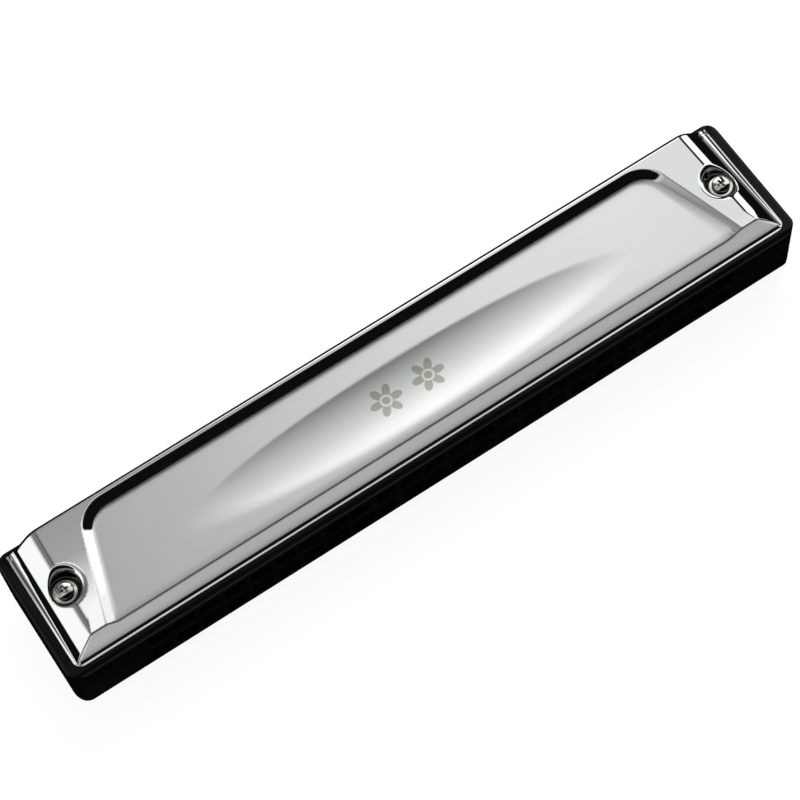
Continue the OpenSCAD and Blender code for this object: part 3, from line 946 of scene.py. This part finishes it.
screw_turns = {
    ("upper", "left"): 8.0,
    ("upper", "right"): 12.0,
    ("lower", "left"): 35.0,
    ("lower", "right"): -20.0,
}
for screw in placed_copies(screw_model(), "screw", SEAT_Z + WASHER_T, screw_turns):
    dress(screw, screw_steel)
    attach(screw, "harmonica")
    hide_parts("cover_screws")
for washer in placed_copies(washer_model(), "washer", SEAT_Z, dict.fromkeys(screw_turns, 0.0)):
    dress(washer, screw_steel)
    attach(washer, "harmonica")
    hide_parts("cover_washers")


# Studio

def only_for_reflections(obj):
    obj.visible_camera = False
    obj.visible_diffuse = False
    obj.visible_shadow = False
    obj.visible_volume_scatter = False


TENT_R = 0.8
TENT_LIGHT = 2.0
# Brightness of the tent from its front, at -1, to its back, at 1: first its right side, then its left side
RIGHT_CLOTH = [
    (-1, 0.004), (-0.64, 0.004), (-0.5, 0.25), (-0.2, 0.45), (0.1, 0.68), (0.16, 0.93), (0.28, 0.93),
    (0.32, 0.75), (0.38, 0.75), (0.5, 1.15), (0.7, 1.55), (1, 1.65),
]
LEFT_CLOTH = [
    (-1, 0.004), (-0.64, 0.004), (-0.5, 0.38), (-0.3, 0.57), (0.08, 0.57), (0.15, 0.38), (0.2, 0.23),
    (0.26, 0.33), (0.3, 0.55), (0.33, 0.96), (0.36, 0.98), (0.39, 0.38), (0.55, 0.08), (1, 0.4),
]
# How far forward the cloth hangs, from the left, at -1, to the right, at 1
CLOTH_HEM = [(-1, 0.03), (-0.5, 0.03), (-0.35, -0.3), (-0.2, -0.6), (0.5, -0.62), (0.6, 0.1), (1, 0.1)]
# Brightness of the table's front edge, from straight down, at -1, up to the horizon, at 0
TABLE_EDGE = [(-1, 0.45), (-0.55, 0.48), (-0.42, 0.55), (-0.36, 0.72), (-0.25, 0.5), (0, 0.35)]
# How bright each part of the tent is that has one light all over
DARK = 0.004
FRONT_WALL = 0.19
LEFT_WALL = 1.0
RIGHT_WALL = 1.1
LEFT_GAP = 0.19
LEFT_SLOT = 0.05
RIGHT_GAP = 0.02
UNDER_CLOTH = 0.12
# Where the left and right cloths meet, how their seam slants towards the back, and how a fold dims them
SEAM_X = 0.31
SEAM_LEAN = -0.33
FOLD_DARK = -0.35


def tent_light(t, x, y, z):
    """Brightness that polished metal sees in the direction x, y, z."""
    seam = t.math("MULTIPLY_ADD", t.math("MAXIMUM", y, 0.0), SEAM_LEAN, SEAM_X)
    on_right = t.ramp(t.math("SUBTRACT", x, seam), -0.14, 0.14)
    light = t.blend(on_right, t.stops(y, LEFT_CLOTH), t.stops(y, RIGHT_CLOTH))
    fold = t.math("MULTIPLY", t.ramp(x, -0.02, 0.1), t.ramp(x, 0.36, 0.22))
    fold = t.math("MULTIPLY", fold, t.ramp(y, 0.34, 0.2))
    light = t.math("MULTIPLY", light, t.math("MULTIPLY_ADD", fold, FOLD_DARK, 1.0))
    at_back = t.ramp(y, 0.28, 0.31)
    left_gap = t.math("MULTIPLY", t.ramp(x, -0.12, -0.4), t.ramp(y, 0.26, 0.32))
    light = t.blend(left_gap, light, LEFT_GAP)
    left_slot = t.between(x, -0.41, -0.33, 0.02)
    light = t.blend(t.math("MULTIPLY", left_slot, at_back), light, LEFT_SLOT)
    under_cloth = t.math("MULTIPLY", t.ramp(y, 0.3, 0.5), t.ramp(z, 0.34, 0.2))
    light = t.blend(under_cloth, light, UNDER_CLOTH)
    light = t.blend(t.ramp(x, -0.6, -0.82), light, LEFT_WALL)
    light = t.blend(t.ramp(x, 0.6, 0.64), light, RIGHT_WALL)
    right_gap = t.between(x, 0.55, 0.71, 0.02)
    light = t.blend(t.math("MULTIPLY", right_gap, at_back), light, RIGHT_GAP)
    past_hem = t.math("SUBTRACT", t.stops(x, CLOTH_HEM), y)
    lower = t.math("MULTIPLY_ADD", t.ramp(x, 0.3, 0.5), 0.16, z)
    wall = t.math("MULTIPLY", t.ramp(z, 0.14, 0.24), t.ramp(lower, 0.58, 0.48))
    light = t.blend(t.ramp(past_hem, 0.0, 0.08), light, t.blend(wall, DARK, FRONT_WALL))
    table = t.blend(t.ramp(y, -0.6, -0.7), DARK, t.stops(z, TABLE_EDGE))
    return t.blend(t.ramp(z, 0.01, -0.01), light, table)


def light_tent():
    """White and grey cloth round the object, with dark gaps, as polished metal shows it."""
    deselect()
    bpy.ops.mesh.primitive_uv_sphere_add(segments=96, ring_count=48, radius=TENT_R)
    tent = bpy.context.object
    tent.name = "light_tent"
    bpy.ops.object.shade_smooth()
    material = bpy.data.materials.new("tent_cloth")
    material.use_nodes = True
    material.node_tree.nodes.clear()
    t = Tree(material.node_tree)
    towards = t.node("ShaderNodeVectorMath", operation="NORMALIZE")
    t.link(t.place(), towards.inputs[0])
    split = t.node("ShaderNodeSeparateXYZ")
    t.link(towards.outputs["Vector"], split.inputs[0])
    glow = t.node("ShaderNodeEmission")
    t.link(tent_light(t, *split.outputs), glow.inputs["Strength"])
    t.link(glow.outputs[0], t.node("ShaderNodeOutputMaterial").inputs["Surface"])
    tent.data.materials.append(material)
    only_for_reflections(tent)


def studio_floor():
    deselect()
    bpy.ops.mesh.primitive_plane_add(size=8.0)
    floor = bpy.context.object
    floor.name = "studio_floor"
    material = bpy.data.materials.new("floor_white")
    material.use_nodes = True
    t = Tree(material.node_tree)
    shader = material.node_tree.nodes["Principled BSDF"]
    shader.inputs["Roughness"].default_value = 0.9
    shader.inputs["Specular IOR Level"].default_value = 0.1
    shader.inputs["Base Color"].default_value = (0.8, 0.8, 0.8, 1)
    glow = t.node("ShaderNodeEmission")
    glow.inputs["Strength"].default_value = 1.05
    mix = t.node("ShaderNodeMixShader")
    t.link(t.math("MULTIPLY", t.seen_directly(), 0.85), mix.inputs[0])
    t.link(shader.outputs[0], mix.inputs[1])
    t.link(glow.outputs[0], mix.inputs[2])
    t.link(mix.outputs[0], material.node_tree.nodes["Material Output"].inputs["Surface"])
    floor.data.materials.append(material)
    floor.visible_glossy = False


def softbox(name, place, size, power):
    deselect()
    bpy.ops.object.light_add(type="AREA", location=place)
    lamp = bpy.context.object
    lamp.name = name
    lamp.data.shape = "SQUARE"
    lamp.data.size = size
    lamp.data.energy = power
    lamp.rotation_euler = (-Vector(place)).to_track_quat("-Z", "Y").to_euler()
    lamp.visible_glossy = False


def white_world():
    world = bpy.data.worlds.new("white_room")
    bpy.context.scene.world = world
    world.use_nodes = True
    t = Tree(world.node_tree)
    backdrop = world.node_tree.nodes["Background"]
    backdrop.inputs["Color"].default_value = (1, 1, 1, 1)
    t.link(t.math("MULTIPLY_ADD", t.seen_directly(), 0.45, 0.55), backdrop.inputs["Strength"])


# Where the camera stands, in metres, how it is turned, in degrees, and its lens, in millimetres
EYE_PLACE = (-0.1024012, -0.2042293, 0.5096907)
EYE_TURN = (24.651262, 3.193056, -33.258553)
EYE_LENS = 113.9876


def camera():
    deselect()
    bpy.ops.object.camera_add(
        location=EYE_PLACE,
        rotation=Euler([math.radians(a) for a in EYE_TURN], "XYZ"),
    )
    eye = bpy.context.object
    eye.name = "photo_camera"
    eye.data.sensor_width = 36.0
    eye.data.lens = EYE_LENS
    eye.data.clip_start = 0.01
    eye.data.clip_end = 50.0
    bpy.context.scene.camera = eye


camera()
light_tent()
studio_floor()
softbox("key_softbox", (0.5, 0.7, 1.3), 1.0, 14.0)
softbox("fill_softbox", (-0.9, -0.4, 1.2), 1.0, 8.0)
white_world()
bpy.context.scene.view_settings.view_transform = "Standard"
